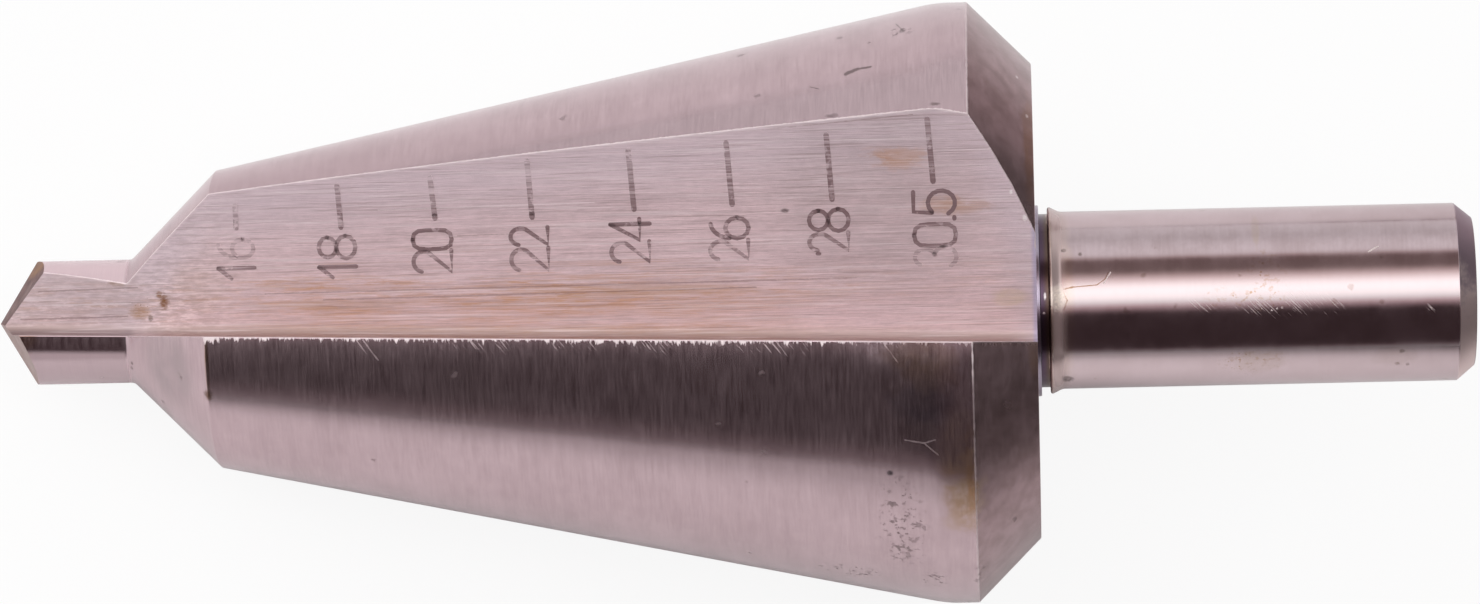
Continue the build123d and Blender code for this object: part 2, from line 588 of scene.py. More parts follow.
fluteFinish = {
    "light": (1, 0.815, 0.85), "dark": (0.56, 0.42, 0.44),
    "brown": (0.69, 0.46, 0.38), "lilac": (0.74, 0.65, 0.72), "burr": (0.9, 0.8, 0.82),
    "etch": (0.29, 0.195, 0.205), "root": (0.45, 0.33, 0.29), "edgeBrown": (0.27, 0.18, 0.16),
    "line": (0.34, 0.22, 0.215), "pale": (1, 0.83, 0.84), "backEdge": (0.5, 0.45, 0.66),
    "rust": (0.36, 0.2, 0.11), "rusty": (0.68, 0.42, 0.29), "dull": (0.4, 0.31, 0.32),
    "chatter": (0.47, 0.33, 0.3),
    "rusted": ((8, 0.75, 2.5), (1.5, 0.75, 1), 1), "grains": (0.22, 0.45),
    "roughness": 0.6, "lineDepth": 0.004,
    # how much each pattern of lines is squeezed along the flute, across it and upwards
    "lines": (0.55, 24, 24), "longLines": (0.11, 7.5, 7.5), "singleLines": (0.4, 20, 20),
    "litLines": (0.22, 16, 16), "dashes": (2.4, 15, 15), "patches": (0.12, 1.3, 1.3),
    "streaks": (0.5, 4.5, 4.5), "mottles": (0.7, 2.6, 2.6), "coarse": (1.5, 6, 6),
    # centre, reach, raggedness, colour, strength
    "stains": (
        ((45, 5.6, 10.6), (7, 7.5, 6), 0.8, (0.46, 0.385, 0.4), 0.36),
        # the next two are painted glints: small white spots near the back end
        ((51.75, 5.38, 11.76), (0.12, 0.14, 0.3), 1.5, (1, 0.95, 0.95), 0.9),
        ((52.41, 4.09, 11.65), (0.16, 0.2, 0.3), 1.5, (1, 0.95, 0.95), 0.95),
        ((46, 7.2, 11), (1.9, 0.62, 2), 3.2, (0.6, 0.36, 0.25), 0.75),
        ((48.8, 4.8, 11.1), (1.8, 0.6, 2), 3.2, (0.58, 0.36, 0.26), 0.7),
        ((8.74, 0.93, 2.72), (0.3, 0.5, 1), 2.2, (0.32, 0.15, 0.07), 1),
        ((8.5, 1.3, 2.75), (0.22, 0.22, 1), 2, (0.36, 0.19, 0.1), 0.95),
        ((7.46, 0.45, 2.39), (0.7, 0.5, 1), 2, (0.54, 0.31, 0.17), 0.75),
        ((8, 0.1, 2.45), (0.16, 0.22, 0.6), 2, (0.2, 0.12, 0.08), 0.8),
        ((51.6, 0.2, 10.8), (1.1, 0.6, 2), 1.4, (0.72, 0.58, 0.4), 0.5),
        ((40.55, 4.75, 9.5), (0.28, 0.14, 1), 0.6, (0.14, 0.1, 0.1), 0.8),
        ((18, 0.6, 4.4), (6, 0.35, 2), 1.2, (0.58, 0.4, 0.3), 0.4),
        ((4.2, 1.2, 1.9), (5, 2.4, 2.5), 2, (0.62, 0.45, 0.39), 0.2),
        ((6.37, 2, 2.5), (0.7, 0.3, 1), 2, (0.42, 0.25, 0.17), 0.7),
        ((10.5, 1.6, 3.2), (1.8, 1.6, 1.5), 2.2, (0.62, 0.45, 0.38), 0.25),
        ((33, 1, 7.4), (9, 0.4, 3), 1.4, (0.56, 0.38, 0.28), 0.4),
    ),
    # start, end, half width
    "brightLines": (
        ((12, 1.72, 3.4), (46, 1.9, 9.9), 0.035), ((2, 0.9, 1.4), (7, 0.9, 2.4), 0.05),
        ((20, 5.3, 5.7), (31, 5.4, 7.8), 0.04), ((30, 7, 7.9), (47, 7.4, 11.2), 0.04),
    ),
    "darkLines": (
        ((14, 1.22, 3.8), (44, 1.35, 9.5), 0.05), ((17, 0.85, 4.3), (39, 1, 8.5), 0.05),
        ((24, 3.9, 6.2), (30.5, 4, 7.5), 0.04), ((36, 8.5, 9.4), (47, 9.3, 11.6), 0.045),
        ((1.2, 0.2, 1.15), (6.8, 0.25, 2.2), 0.06), ((2.2, 1.6, 1.6), (7.4, 1.7, 2.6), 0.045),
    ),
}


def fluteSteel():
    # ground lengthwise; the etched scale is the same steel with a depth of its own
    f = fluteFinish
    shader, place, s, y, z = newSteel("fluteSteel")
    rag = ragNoise(place * (0.7, 2.2, 2.2))
    across = y * calc("SIGN", z)
    onFlute = combine(s, across, s * -drill["floorRise"] + abs(z))
    wall, floor, rim = useGroup(edgeDistance, place).values()
    lines = useGroup(grindLines, onFlute, f["lines"])
    long = useGroup(grindLines, onFlute, f["longLines"])
    single = useGroup(grindLines, onFlute, f["singleLines"])["cuts"]
    elsewhere = onFlute + (40, 7, 3)
    lit = useGroup(grindLines, elsewhere, f["litLines"])["cuts"]
    dashes = useGroup(grindLines, onFlute, f["dashes"])["tone"]
    tone = lines["tone"] * 0.34 + long["tone"] * 0.28 + dashes * 0.22 + long["bands"] * 0.16
    # browned towards the wall, in streaks and patches
    browned = ramp(long["tone"] * 3 + across, 4.2, 1.6) * ramp(s, 44, 34, 0.2, 0.95)
    browned *= ramp(s, 11, 20, 0.45, 1) * ramp(lines["tone"], 0.85, 0.25, 0.45, 1)
    browned *= ramp(dashes, 0.2, 0.8, 0.7, 1.15)
    patchy = noise(onFlute * f["patches"], 3, 0.6)
    browned *= ramp(patchy, 0.36, 0.56, 0.25, 1)
    streaks = noise(onFlute * f["streaks"], 4, 0.7)
    rusty = ramp(abs(across - 1), 1.5, 0.2) * ramp(streaks, 0.49, 0.6)
    rusty *= ramp(s, 46, 30, 0.25, 0.9) * ramp(patchy, 0.4, 0.58, 0.3, 1)
    mottled = noise(onFlute * f["mottles"], 4, 0.65)
    # the wheel left coarser marks near the point
    coarse, nearPoint = noise(onFlute * f["coarse"], 3, 0.65), ramp(s, 15, 8)
    colour = layered(
        mix(tone, f["dark"], f["light"]), f, brown=browned, rusty=rusty,
        dull=ramp(mottled, 0.56, 0.36, 0, 0.13),
        chatter=nearPoint * ramp(coarse, 0.5, 0.62, 0, 0.5),
        pale=nearPoint * ramp(coarse, 0.5, 0.36, 0.2, 0.85),
        # the root is browner along the whole flute and more so by the point; by the point the
        # wall's edge is darkened further with painted shade
        root=ramp(wall, 0.75, 0.25) * ramp(s, 7.3, 6.8, 0.6, 0.95),
        edgeBrown=ramp(wall, 0.42, 0.12) * ramp(s, 7.3, 6.8, 0, 0.85),
        lilac=ramp(rim, 3.2, 0.4) * 0.45)
    colour = stained(colour, place, rag, f["stains"])
    grains = useGroup(pits, place, *f["grains"]) * 0.8
    dark = highest(scratched(place, rag, f["darkLines"]) * 0.5, single * 0.26)
    # bright scratches and lit lines, and by the point a ragged line along the outline; the light
    # colour laid on them is partly a painted highlight
    bright = highest(scratched(place, rag, f["brightLines"]) * 0.6, lit * 0.38)
    ragged = lines["tone"] * 0.14 + rim
    bright = highest(bright, ramp(ragged, 0.17, 0.05) * ramp(s, 6.4, 7.4, 0.2, 0.7))
    # the scale is worn where the grinding lines and the crumbs are
    etched = place.tree.nodes.new("ShaderNodeAttribute")
    etched.attribute_name = "depth"
    etched = Field(etched.outputs["Fac"])
    worn = etched - lines["tone"] * 0.5 - long["tone"] * 0.45
    worn -= useGroup(corrosion, place, 0.5) * 0.35
    colour = layered(
        colour, f, rust=spotMask(place, rag, *f["rusted"]) * grains, line=dark, burr=bright,
        etch=ramp(worn, -0.45, 0.66) * ramp(etched, 0.02, 0.1),
        # a painted bluish highlight along the back end of the flute floor
        backEdge=ramp(s, 52.6, 52.85, 0, 0.6))
    gloss = lines["tone"] * 0.1 + (f["roughness"] - 0.05)
    dress(shader, colour, gloss, lines["tone"] - single * 0.5, f["lineDepth"])


coneFinish = {
    "light": (0.65, 0.5, 0.535), "dark": (0.475, 0.355, 0.38),
    "burr": (0.95, 0.85, 0.86), "chamfer": (0.45, 0.315, 0.335), "chamferDark": (0.29, 0.195, 0.2),
    "temper": (0.42, 0.27, 0.18), "nick": (0.15, 0.11, 0.11), "roughness": 0.16,
    "tempered": ((49.2, -8.6, 12.7), (1.7, 4.8, 4.4), 0.8),
    "hazed": ((46.3, -1.4, 14.5), (4.5, 2.4, 3), 1),
    "lineDepth": 0.0001, "lines": (13, 0.7, 0.7), "pits": (0.34, 0.45), "fewPits": (1.1, 0.06),
    # stations where the chamfer starts, the temper colours end, and the burr starts and ends
    "chamferFrom": (49.7, 49.78), "temperTo": (49.72, 49.66), "teethFrom": (11.1, 11.4),
    "teethTo": (42.5, 45),
    "stains": (
        # the first two darken the lower side by the land: painted shade of the dark room mirrored
        # there
        ((48, -6, 13.9), (2.2, 2.9, 2.5), 2.2, (0.28, 0.2, 0.21), 0.5),
        ((47.3, -4.9, 14.2), (1.7, 1.6, 2), 2.8, (0.2, 0.17, 0.23), 0.55),
        ((47.2, -2.9, 14.8), (2.4, 1.5, 1.5), 2.6, (0.46, 0.29, 0.21), 0.6),
        ((49.2, -9.6, 11.7), (1.3, 3, 3), 3, (0.47, 0.34, 0.26), 0.7),
        ((49.5, -9, 12.2), (0.35, 2.6, 2.4), 4, (0.4, 0.21, 0.1), 0.9),
        ((51.4, -1.5, 13.4), (2.2, 0.6, 1.5), 1.8, (0.42, 0.24, 0.17), 0.6),
        ((52.7, -2.6, 12), (0.35, 1.5, 1.5), 1.8, (0.42, 0.26, 0.19), 0.6),
        ((9.24, -2.5, 4.93), (2.3, 2.8, 2.8), 0.5, (0.38, 0.32, 0.33), 0.6),
        ((7.02, -2.13, 2.54), (0.11, 0.14, 0.2), 0.5, (0.12, 0.08, 0.08), 0.8),
        ((6.97, -2.38, 2.24), (0.11, 0.14, 0.2), 0.5, (0.12, 0.08, 0.08), 0.8),
        ((1.6, -0.7, 3), (0.9, 1, 1), 1.6, (0.4, 0.24, 0.16), 0.7),
        ((45.51, -8.28, 12.15), (0.22, 0.2, 0.3), 0.6, (0.05, 0.04, 0.05), 0.9),
        ((11.33, -3.79, 6.59), (0.32, 0.38, 0.5), 1.6, (0.16, 0.09, 0.06), 0.9),
        ((11.38, -2.3, 7.2), (0.16, 2.2, 2), 0.8, (0.25, 0.15, 0.09), 0.8),
        ((52.7, 7.6, 9.6), (0.4, 4.2, 4.2), 1.8, (0.36, 0.2, 0.14), 0.7),
        ((46.5, 13.64, 6), (0.26, 0.24, 0.4), 2.6, (0.12, 0.085, 0.085), 0.85),
        ((43.35, 13.41, 4.83), (0.22, 0.15, 0.3), 2.4, (0.16, 0.11, 0.11), 0.7),
        ((43, 9.35, 10.65), (0.5, 0.14, 0.25), 2.4, (0.17, 0.12, 0.13), 0.7),
        ((48.1, 9.8, 11.65), (0.34, 0.12, 0.3), 2, (0.17, 0.12, 0.12), 0.75),
        # the next two are painted glints
        ((52.18, 11.2, 6.11), (0.1, 0.14, 0.2), 1.6, (0.95, 0.85, 0.85), 0.7),
        ((52.63, 9.19, 8.2), (0.1, 0.14, 0.2), 1.6, (0.95, 0.85, 0.85), 0.7),
    ),
    "pitted": (
        ((46, -11, 9.9), (1.5, 4.4, 4.6), 1.4), ((47.5, -13.8, 6.1), (1, 0.9, 1.4), 1),
        ((49.7, -13.6, 6.8), (0.6, 1, 1.4), 1),
        ((43.3, -13.3, 5.1), (2.6, 0.8, 1.2), 1.2), ((46.44, 13.64, 5.99), (0.8, 0.8, 1.2), 1),
    ),
    "nicks": (
        ((43.7, 11.47, 8.57), (44.3, 11.71, 8.47), 0.19),
        ((44.3, 11.71, 8.47), (44.9, 11.79, 8.57), 0.12),
        ((41.91, 10.86, 8.75), (42.35, 10.74, 9.05), 0.04),
        ((46.18, 14.04, 4.82), (46.54, 13.64, 6.06), 0.05),
    ),
    "scratches": (
        ((46.3, -6.66, 13.3), (47.23, -6.82, 13.43), 0.055),
        ((47.23, -6.82, 13.43), (47.77, -6.68, 13.63), 0.05),
        ((47.23, -6.82, 13.43), (47.9, -7.43, 13.27), 0.05),
        ((19.43, -1.19, 9.21), (20.15, -2.2, 9.17), 0.05),
        ((19.1, -1.2, 9.15), (19.6, -1.9, 9.1), 0.04),
    ),
    # where fine slanting scratches gather: centre, reach, raggedness
    "brushed": (
        ((25.5, -1.3, 10.4), (3.2, 0.9, 1.5), 0.9), ((30, -1.4, 11.4), (2.2, 0.8, 1.5), 0.9),
        ((34, -1.7, 12.1), (1.2, 0.9, 1.5), 0.9), ((45.7, -2.3, 14.6), (0.6, 1.1, 1.5), 0.9),
        ((40, -2, 13.3), (3, 0.6, 1.5), 0.9),
    ),
}


def coneSteel():
    # turned and polished around the axis, tempered and pitted towards the largest diameter
    f = coneFinish
    shader, place, s, y, z = newSteel("coneSteel")
    rag = ragNoise(place)
    wall, floor, rim = useGroup(edgeDistance, place).values()
    lines = useGroup(grindLines, place, f["lines"])
    cloud = useGroup(blotches, place, 3.2)
    mottled = lines["tone"] * 0.3 + useGroup(blotches, place, 1.1) * 0.7
    lineShare = ramp(s, 8, 6.9) * -0.4 + 0.55
    tone = (lines["tone"] - 0.5) * lineShare + cloud * 0.25 + lines["bands"] * 0.2 + 0.275
    colour = mix(tone, f["dark"], f["light"])
    chamfered = ramp(s, *f["chamferFrom"])
    colour = mix(chamfered, colour, mix(mottled, f["chamferDark"], f["chamfer"]))
    # painted shade: darker towards the heel edge, except on the chamfer
    heelSide = ramp(floor, 3, 0.2, 0, 0.3) * ramp(s, 10, 14)
    # painted light: on the pilot, away from the cutting edge, the colour is lighter and the film
    # thicker
    dull = ramp(s, 6.9, 6.6) * ramp(wall, 0.68, 1, 0, 0.75)
    colour = layered(colour, f, dark=heelSide * (1 - chamfered), light=dull)
    colour = stained(colour, place, rag, f["stains"])
    tempered = gathered(place, rag, f["tempered"]) * ramp(s, *f["temperTo"])
    tempered *= ramp(mottled, 0.2, 0.8, 0.3, 0.85)
    nicks = scratched(place, rag, f["nicks"]) * 0.8
    colour = layered(colour, f, temper=tempered, nick=nicks)
    holes = highest(useGroup(pits, place, *f["pits"]), useGroup(corrosion, place, 0.36) * 0.9)
    holes *= gathered(place, rag, *f["pitted"])
    holes = highest(holes, useGroup(pits, place, *f["fewPits"]) * 0.5)
    # bright near the rims: teeth on the cutting edge, the heel, the shoulder and fine scratches;
    # worn metal, and on the edges partly a painted highlight
    wear = noise(place * (3.6, 1.6, 1.6), 4, 0.72) * -0.12
    teeth = noise(place * (5, 0.8, 0.8), 3, 0.7)
    ragged = teeth * -1.3 + wall + ramp(s, 11.5, 12.6, -0.2, 0)
    beyond = ramp(s, *f["teethTo"])
    cutting = ramp(ragged, -0.53, -0.68) * ramp(s, *f["teethFrom"]) * (1 - beyond * 0.75)
    cutting = highest(cutting, ramp(wall, 0.09, 0.03, 0, 0.6) * beyond)
    cutting *= ramp(s, 49.7, 49.5, 0.25, 1)
    heel = ramp(wear + floor, 0, -0.03, 0, 0.5)
    corner = ramp(wear + abs(s - 49.7), 0, -0.05)
    corner *= ramp(wall, 2.6, 0.6, 0.35, 1)
    brushed = gathered(place, rag, *f["brushed"]) * useGroup(hairs, place, 0.75)
    scored = scratched(place, rag, f["scratches"])
    bright = highest(cutting, heel, corner, scored * 0.22, brushed * 0.36)
    bright *= ramp(rim, 1, 0.5)
    colour = layered(colour, f, nick=holes * 0.8, burr=bright)
    hazed = gathered(place, rag, f["hazed"]) * ramp(s, 49.75, 49.7)
    gloss = chamfered * 0.1 + hazed * 0.04 + bright * 0.65 + holes * 0.3 + f["roughness"]
    # a film of dust and fine scratches, thicker along the cutting edge and on the pits
    film = (lines["tone"] * 0.05 + mottled * 0.04) * ramp(s, 7, 14, 0.3, 1)
    worn = ramp(wall, 1.5, 0, 0, 0.1) * ramp(teeth, 0.35, 0.65)
    film += highest(worn, dull) + hazed * mottled * 0.18 + tempered * 0.1 + bright * 0.5
    dress(shader, colour, gloss, lines["tone"] - holes * 3, f["lineDepth"], 0.985 - film)


shankFinish = {
    "light": (0.55, 0.445, 0.47), "dark": (0.455, 0.355, 0.37), "roughness": 0.12,
    # painted light: the paler sides and the tint of the crest's highlight
    "lowSide": (0.84, 0.69, 0.72), "crest": (0.56, 0.49, 0.495),
    "lineDepth": 0.0003, "lines": (6, 0.5, 0.5), "specks": (0.8, 0.1), "crumbs": (0.3, 0.55),
    "flecks": (0.26, 0.35),
    # stations where the neck and the free end begin, and where each part of the neck ends
    "neckFrom": (54.6, 54), "brownTo": (53.75, 53.45), "grooveTo": (53.52, 53.42),
    "grooveBlend": (53.2, 53.5), "collarTo": (53.12, 53.08), "endFrom": (74.05, 74.15),
    "faceFrom": (74.94, 74.98),
    # the collar's lilac is a painted reflection
    "collar": (0.4, 0.35, 0.43), "flare": (0.61, 0.475, 0.465), "neckBrown": (0.42, 0.31, 0.27),
    # painted shade in the groove
    "grooveShadeLeft": (0.105, 0.07, 0.105), "grooveShadeRight": (0.125, 0.085, 0.07),
    # the free end's chamfer: painted light below, painted shade on top
    "endTopShaded": (0.43, 0.32, 0.38), "endLowLit": (1, 0.81, 0.8), "speck": (0.22, 0.14, 0.09),
    "scratch": (0.95, 0.86, 0.84), "gold": (0.38, 0.24, 0.14), "brown": (0.24, 0.13, 0.06),
    "stains": (
        ((54.3, 0, 3), (0.7, 6, 6), 1.2, (0.58, 0.45, 0.36), 0.4),
        ((64, -3.2, 3.1), (1.8, 1.1, 1.5), 2.6, (0.42, 0.32, 0.25), 0.3),
        ((55.15, 2.3, 3.86), (0.15, 0.13, 0.3), 1.8, (0.14, 0.1, 0.09), 0.75),
        ((71.19, -2.93, 3.41), (0.22, 0.14, 0.3), 2.4, (0.14, 0.1, 0.09), 0.8),
        ((71, -3.54, 2.77), (0.16, 0.12, 0.2), 2.4, (0.2, 0.14, 0.12), 0.7),
        ((71.5, -3.6, 2.69), (0.14, 0.12, 0.2), 2.4, (0.2, 0.14, 0.12), 0.7),
        ((71, -3.2, 3.2), (1.5, 0.9, 1), 2.6, (0.42, 0.32, 0.28), 0.25),
        ((64, 3.2, 3), (0.25, 1.6, 1.6), 1.6, (0.52, 0.4, 0.3), 0.4),
    ),
    # on the neck, over its own colours
    "neckStains": (
        ((54.3, 2.5, 3.78), (0.2, 0.12, 0.3), 1.8, (0.14, 0.1, 0.09), 0.8),
        ((54.4, -3.98, 2.05), (0.36, 0.26, 0.5), 2.6, (0.08, 0.05, 0.05), 1),
        # the next two are painted glints in the groove
        ((53.34, 0.23, 4.39), (0.07, 0.22, 0.2), 2.4, (0.95, 0.9, 0.9), 0.7),
        ((53.27, -0.62, 4.35), (0.09, 0.09, 0.2), 0.5, (0.95, 0.9, 0.9), 0.9),
    ),
    # a painted warm highlight on the flare
    "glow": ((53.95, 0.1, 4.6), (0.55, 0.9, 0.6), 1.2), "glowColour": (1, 0.88, 0.78),
    "flecked": ((63.9, -0.75, 4.45), (1.6, 0.75, 1), 1.2),
    "gilded": (
        ((64.4, 1, 4.3), (1.3, 2, 2), 1.3), ((63.3, -0.2, 4.5), (2.6, 0.9, 1), 1.3),
        ((63.6, -3.3, 3.1), (2.4, 1, 1.5), 1.5),
    ),
    "scuffed": (
        ((65.6, -0.5, 4.5), (3.6, 0.9, 1.2), 1.6), ((60.7, -0.5, 4.4), (1.2, 0.5, 1.2), 1.6),
        ((72.8, -0.8, 4.4), (0.5, 0.45, 1.2), 1.2),
    ),
    "scratches": (
        ((69.6, 2.1, 3.98), (70.1, 2.35, 3.83), 0.05),
        ((56.3, 0.8, 4.42), (56.66, 1.35, 4.28), 0.045),
    ),
    "darkScratches": (
        ((54.25, 0.4, 4.48), (54.45, 0, 4.5), 0.05), ((54.45, 0, 4.5), (54.28, -0.45, 4.48), 0.05),
        ((54.1, 0.52, 4.49), (54.75, 0.65, 4.45), 0.055),
        ((54.75, 0.65, 4.45), (55.96, 0.73, 4.43), 0.04),
        ((55.96, 0.73, 4.43), (56.37, 1.02, 4.38), 0.035),
        ((56.37, 1.02, 4.38), (56.53, 1.32, 4.29), 0.035),
    ),
}


def shankSteel():
    # polished, with the duller neck and its dark groove, which is painted shade
    f = shankFinish
    shader, place, s, y, z = newSteel("shankSteel")
    rag = ragNoise(place)
    lines = useGroup(grindLines, place, f["lines"])["tone"]
    cloud = useGroup(blotches, place, 1.6)
    plain = mix(lines * 0.3 + cloud * 0.7, f["dark"], f["light"])
    # painted light: paler towards both sides, and a paler tint where the highlight runs along the
    # crest
    sides = highest(ramp(y, -2.2, -3.8, 0, 0.5), ramp(y, 2.9, 3.7, 0, 0.35))
    crest = ramp(abs(y - 0.5), 1.6, 0.6, 0, 0.7)
    colour = layered(plain, f, lowSide=sides, crest=crest)
    colour = stained(colour, place, rag, f["stains"])
    specks = useGroup(pits, place, *f["specks"])
    crumbs = highest(useGroup(corrosion, place, 0.3) * 0.45, useGroup(pits, place, *f["crumbs"]))
    gilded = gathered(place, rag, *f["gilded"]) * crumbs * 0.9
    dark = scratched(place, rag, f["darkScratches"]) * 0.8
    light = gathered(place, rag, *f["scuffed"]) * useGroup(hairs, place, 1)
    light = highest(light, scratched(place, rag, f["scratches"])) * 0.7
    flecks = useGroup(pits, place, *f["flecks"]) * gathered(place, rag, f["flecked"])
    light = highest(light, flecks)
    # neck: flare, groove and collar, with painted shade in the groove and painted highlights on
    # the collar and flare
    neck = ramp(s, *f["neckFrom"])
    smudged = cloud * -0.15 + s
    colour = layered(colour, f, speck=specks * 0.3, gold=gilded, brown=dark, scratch=light,
                     flare=neck, neckBrown=ramp(smudged, *f["brownTo"]))
    # painted shade: the groove near black
    groove = mix(ramp(s, *f["grooveBlend"]), f["grooveShadeLeft"], f["grooveShadeRight"])
    colour = mix(ramp(smudged, *f["grooveTo"]), colour, groove)
    # painted highlight: a warm pale spot on the flare, less metallic there
    glow = gathered(place, rag, f["glow"]) * ramp(s, 53.5, 53.56)
    # the collar's lilac is a painted reflection
    colour = layered(colour, f, collar=ramp(s, *f["collarTo"]), glowColour=glow)
    colour = stained(colour, place, rag, f["neckStains"])
    # chamfer and face of the free end; the chamfer is painted light below and painted shade on top
    end = ramp(s, *f["endFrom"])
    ends = mix(ramp(cloud * 2.5 + y, 0, 3.2), f["endLowLit"], f["endTopShaded"])
    ends = mix(ramp(s, *f["faceFrom"]), ends, plain)
    colour = mix(end, colour, ends)
    gloss = cloud * 0.05 + neck * 0.06 + end * 0.25 + light * 0.6 + f["roughness"]
    film = neck * ramp(s, 53.5, 53.8) * 0.38 + glow * 0.5 + flecks * 0.6
    metallic = 1 - lowest(film, 1)
    dress(shader, colour, gloss, lines - specks * 2, f["lineDepth"], metallic)


pointFinish = {
    "lip": {"light": (0.46, 0.34, 0.33), "dark": (0.34, 0.24, 0.22), "roughness": 0.35},
    "relief": {"light": (0.27, 0.155, 0.15), "dark": (0.15, 0.085, 0.085), "roughness": 0.4},
    "lineDepth": 0.0015, "lines": (5, 0.8, 5),
    "stains": (((2, 3, 0.1), (1.5, 1, 1.6), 0.8, (0.46, 0.27, 0.14), 0.7),
               ((2.6, -0.6, 2.9), (1, 0.5, 0.5), 1, (0.5, 0.33, 0.16), 0.6)),
}


def pointSteel(zone):
    # the flats of the point, ground across; the relief behind them is darker
    f, own = pointFinish, pointFinish[zone]
    shader, place = newSteel(zone + "Steel")[:2]
    lines = useGroup(grindLines, place, f["lines"])
    colour = mix(lines["tone"], own["dark"], own["light"])
    colour = stained(colour, place, ragNoise(place), f["stains"])
    gloss = lines["bands"] * 0.15 + own["roughness"]
    dress(shader, colour, gloss, lines["tone"], f["lineDepth"])


for build in (grindLines, blotches, spot, pits, scratch, hairs, corrosion, edgeDistance):
    newGroup(build)
fluteSteel()
coneSteel()
shankSteel()
pointSteel("lip")
pointSteel("relief")
print("steels made")
body = buildBody()
zones = {"flute": "fluteSteel", "turned": "coneSteel", "shank": "shankSteel", "lip": "lipSteel",
         "relief": "reliefSteel"}
for name in zones.values():
    body.data.materials.append(bpy.data.materials[name])
for face in body.data.polygons:
    face.material_index = list(zones).index(zoneOf(face))
clearSelection()
bpy.context.view_layer.objects.active = body
body.select_set(True)
bpy.ops.object.shade_smooth_by_angle(angle=radians(drill["smoothAngle"]))
body.data.transform(toFloor)
body.data.update()
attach(body, "root")
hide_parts("drill_body")
print("body finished")

# Etched scale on the floor of one flute: plain diameters, each with its tick
scale = {
    "strokeWidth": 0.215, "tickWidth": 0.27, "thickness": 0.016, "proud": 0.006,
    "dotWidth": 0.16, "dotLength": 0.12,
    # top and bottom of the figures along the drill, the figures with their y and depth, and the
    # tick's two ends with its depth there
    "numbers": (
        ((11.64, 13.51), (("1", 1.96, 2.96, 0.62), ("6", 3.05, 4.03, 0.42)),
         ((12.65, 5.69, 0.3), (12.65, 4.58, 0.6))),
        ((16.86, 18.76), (("1", 1.9, 2.9, 0.8), ("8", 2.92, 4.05, 0.7)),
         ((17.94, 6.56, 0.4), (18.06, 4.5, 0.95))),
        ((21.71, 23.7), (("2", 2.1, 3.2, 0.85), ("0", 3.28, 4.23, 0.95)),
         ((22.71, 6.83, 0.22), (22.89, 4.83, 0.8))),
        ((26.7, 28.63), (("2", 2.06, 3.2, 0.78), ("2", 3.33, 4.24, 0.9)),
         ((27.67, 7.54, 0.25), (27.83, 4.75, 0.9))),
        ((31.78, 33.75), (("2", 2.36, 3.4, 0.82), ("4", 3.48, 4.48, 0.95)),
         ((32.79, 7.95, 0.45), (32.99, 5.02, 0.85))),
        ((36.76, 38.71), (("2", 2.37, 3.35, 0.72), ("6", 3.42, 4.49, 0.9)),
         ((37.71, 8.16, 0.5), (37.92, 5.14, 0.9))),
        ((41.72, 43.71), (("2", 2.7, 3.6, 0.75), ("8", 3.69, 4.77, 1.1)),
         ((42.7, 8.42, 0.6), (42.91, 5.26, 1.15))),
        ((46.93, 49), (("3", 1.84, 2.8, 0.42), ("0", 2.84, 3.9, 0.85),
                         (".", 4.16, 4.22, 1), ("5", 4.36, 5.57, 1.1)),
         ((47.71, 9.06, 0.45), (47.93, 6.02, 1.1))),
    ),
    "dots": ((42.1, 2.58, 0.9), (22.82, 4.98, 1.15), (27.77, 4.92, 1.15)),
}


def bow(middle, reach, start, end, steps=12):
    # part of an oval, from one angle to the other
    angles = [radians(start + (end - start) * i / steps) for i in range(steps + 1)]
    return [(middle[0] + reach[0] * cos(a), middle[1] + reach[1] * sin(a)) for a in angles]


# Strokes of the figures in a cell one wide and two high
figures = {
    "0": [[(0.5, 2), (0.2, 1.93), (0.04, 1.7), (0, 1.3), (0, 0.7), (0.04, 0.3), (0.2, 0.07),
           (0.5, 0), (0.8, 0.07), (0.96, 0.3), (1, 0.7), (1, 1.3), (0.96, 1.7), (0.8, 1.93),
           (0.5, 2)]],
    "1": [[(0.6, 0), (0.6, 2)], [(0.6, 1.98), (0.08, 1.3)]],
    "2": [bow((0.5, 1.46), (0.46, 0.54), 165, -28) + [(0.03, 0.04), (1, 0.04)]],
    "3": [bow((0.46, 1.5), (0.44, 0.48), 150, -70), bow((0.46, 0.54), (0.52, 0.54), 75, -150)],
    "4": [[(0.8, 0), (0.8, 2)], [(0.8, 2), (0, 0.52), (1.04, 0.52)]],
    "5": [[(0.94, 2), (0.14, 2), (0.08, 1.14)], bow((0.48, 0.66), (0.5, 0.65), 135, -150)],
    "6": [bow((0.5, 0.6), (0.48, 0.6), 0, 360), bow((0.78, 0.8), (0.76, 1.15), 170, 95)],
    "8": [bow((0.5, 1.51), (0.44, 0.48), 0, 360), bow((0.5, 0.52), (0.5, 0.52), 0, 360)],
    ".": [[(0, 0.06), (1, 0.06)]],
}


def onFloor(station, y):
    return Vector((station, y, floorAt(station, y)))


